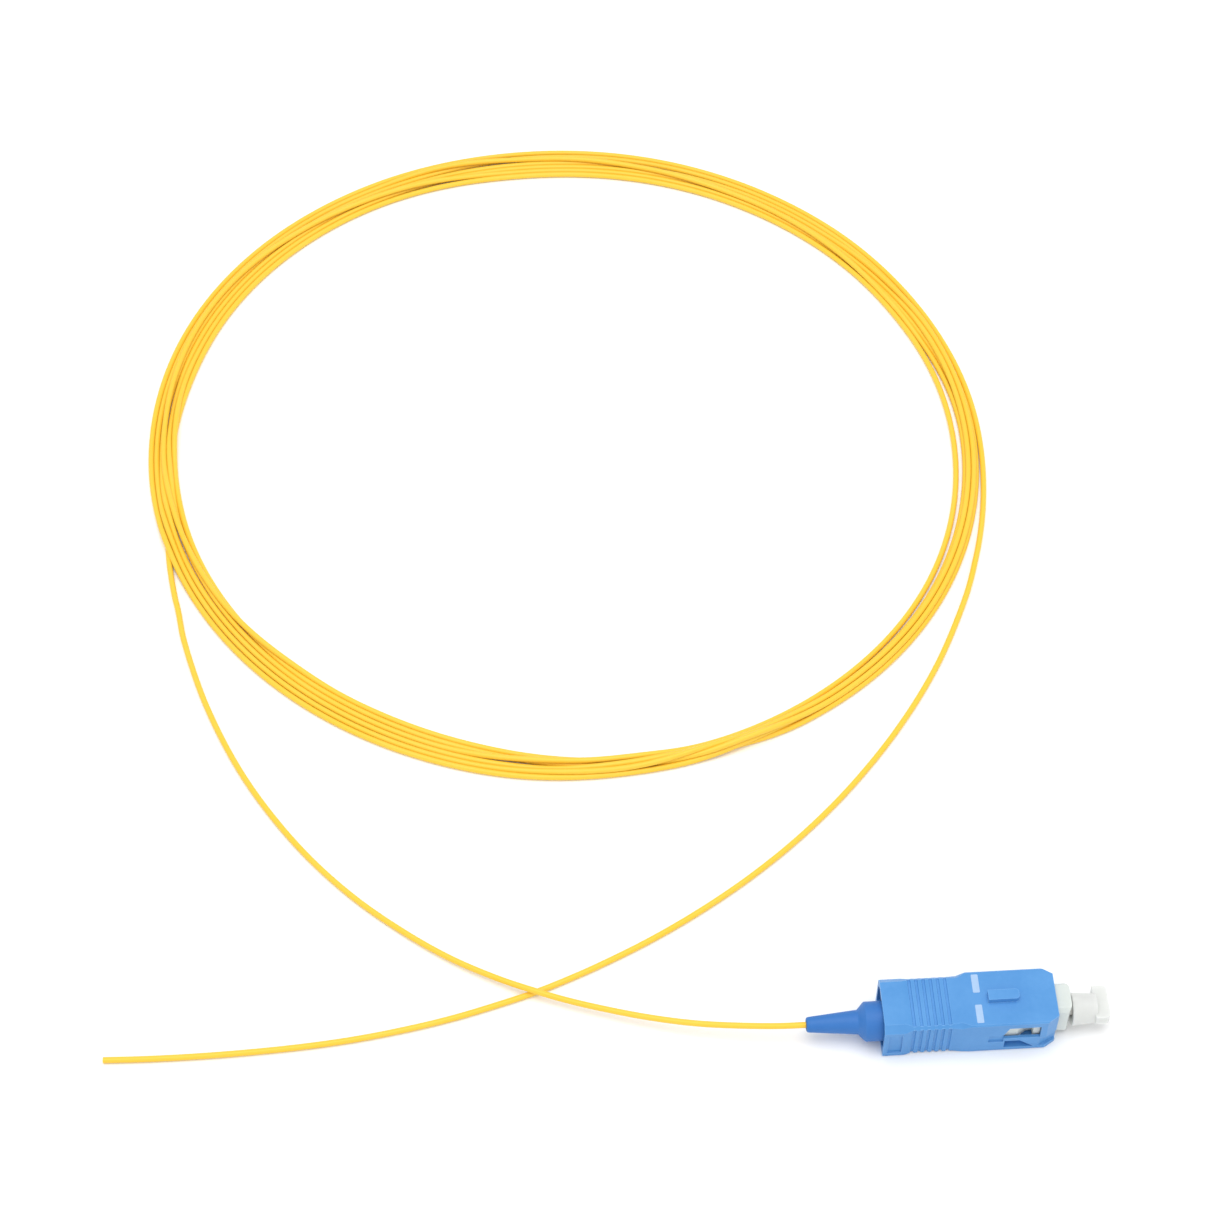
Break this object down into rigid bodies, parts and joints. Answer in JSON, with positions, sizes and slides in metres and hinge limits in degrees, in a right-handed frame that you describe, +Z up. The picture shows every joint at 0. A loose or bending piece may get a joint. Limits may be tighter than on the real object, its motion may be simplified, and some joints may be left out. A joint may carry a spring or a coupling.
{
  "type": "fibre optic pigtail",
  "caption": "Push-pull fibre optic plug with strain relief boot and dust cap, on one end of a thin buffered fibre laid in a loose coil with a bare cut end.",
  "frame": {"origin": "on the ground plane, under the middle of the plug from the boot's tip to the front of the dust cap", "axes": "+X along the plug towards its front, +Z up through the key on the grip"},
  "size_m": [0.1446, 0.1822, 0.0083],
  "materials": {
    "grip_blue": "satin moulded",
    "boot_blue": "soft moulded",
    "frame_white": "satin moulded",
    "cap_clear": "translucent moulded",
    "ferrule_ceramic": "polished",
    "nickel": "plated",
    "spring_steel": "drawn wire",
    "fibre_yellow": "extruded buffer"
  },
  "bodies": {
    "plug": {"plug_frame": "frame_white", "rear_body": "nickel", "boot": "boot_blue", "ferrule_spring": "spring_steel", "fibre_lead": "fibre_yellow", "fibre_coil": "fibre_yellow", "fibre_tail": "fibre_yellow"},
    "grip": {"grip_housing": "grip_blue"},
    "ferrule": {"ferrule": "ferrule_ceramic", "ferrule_flange": "nickel"},
    "cap": {"dust_cap": "cap_clear"}
  },
  "joints": [
    {"name": "grip_slide", "type": "slide", "parent": "plug", "child": "grip", "axis": [1, 0, 0], "range_m": [0, 0.002]},
    {"name": "ferrule_push", "type": "slide", "parent": "plug", "child": "ferrule", "axis": [-1, 0, 0], "range_m": [0, 0.0008], "stiffness_N_per_m": 200},
    {"name": "cap_pull", "type": "slide", "parent": "plug", "child": "cap", "axis": [1, 0, 0], "range_m": [0, 0.01]}
  ]
}
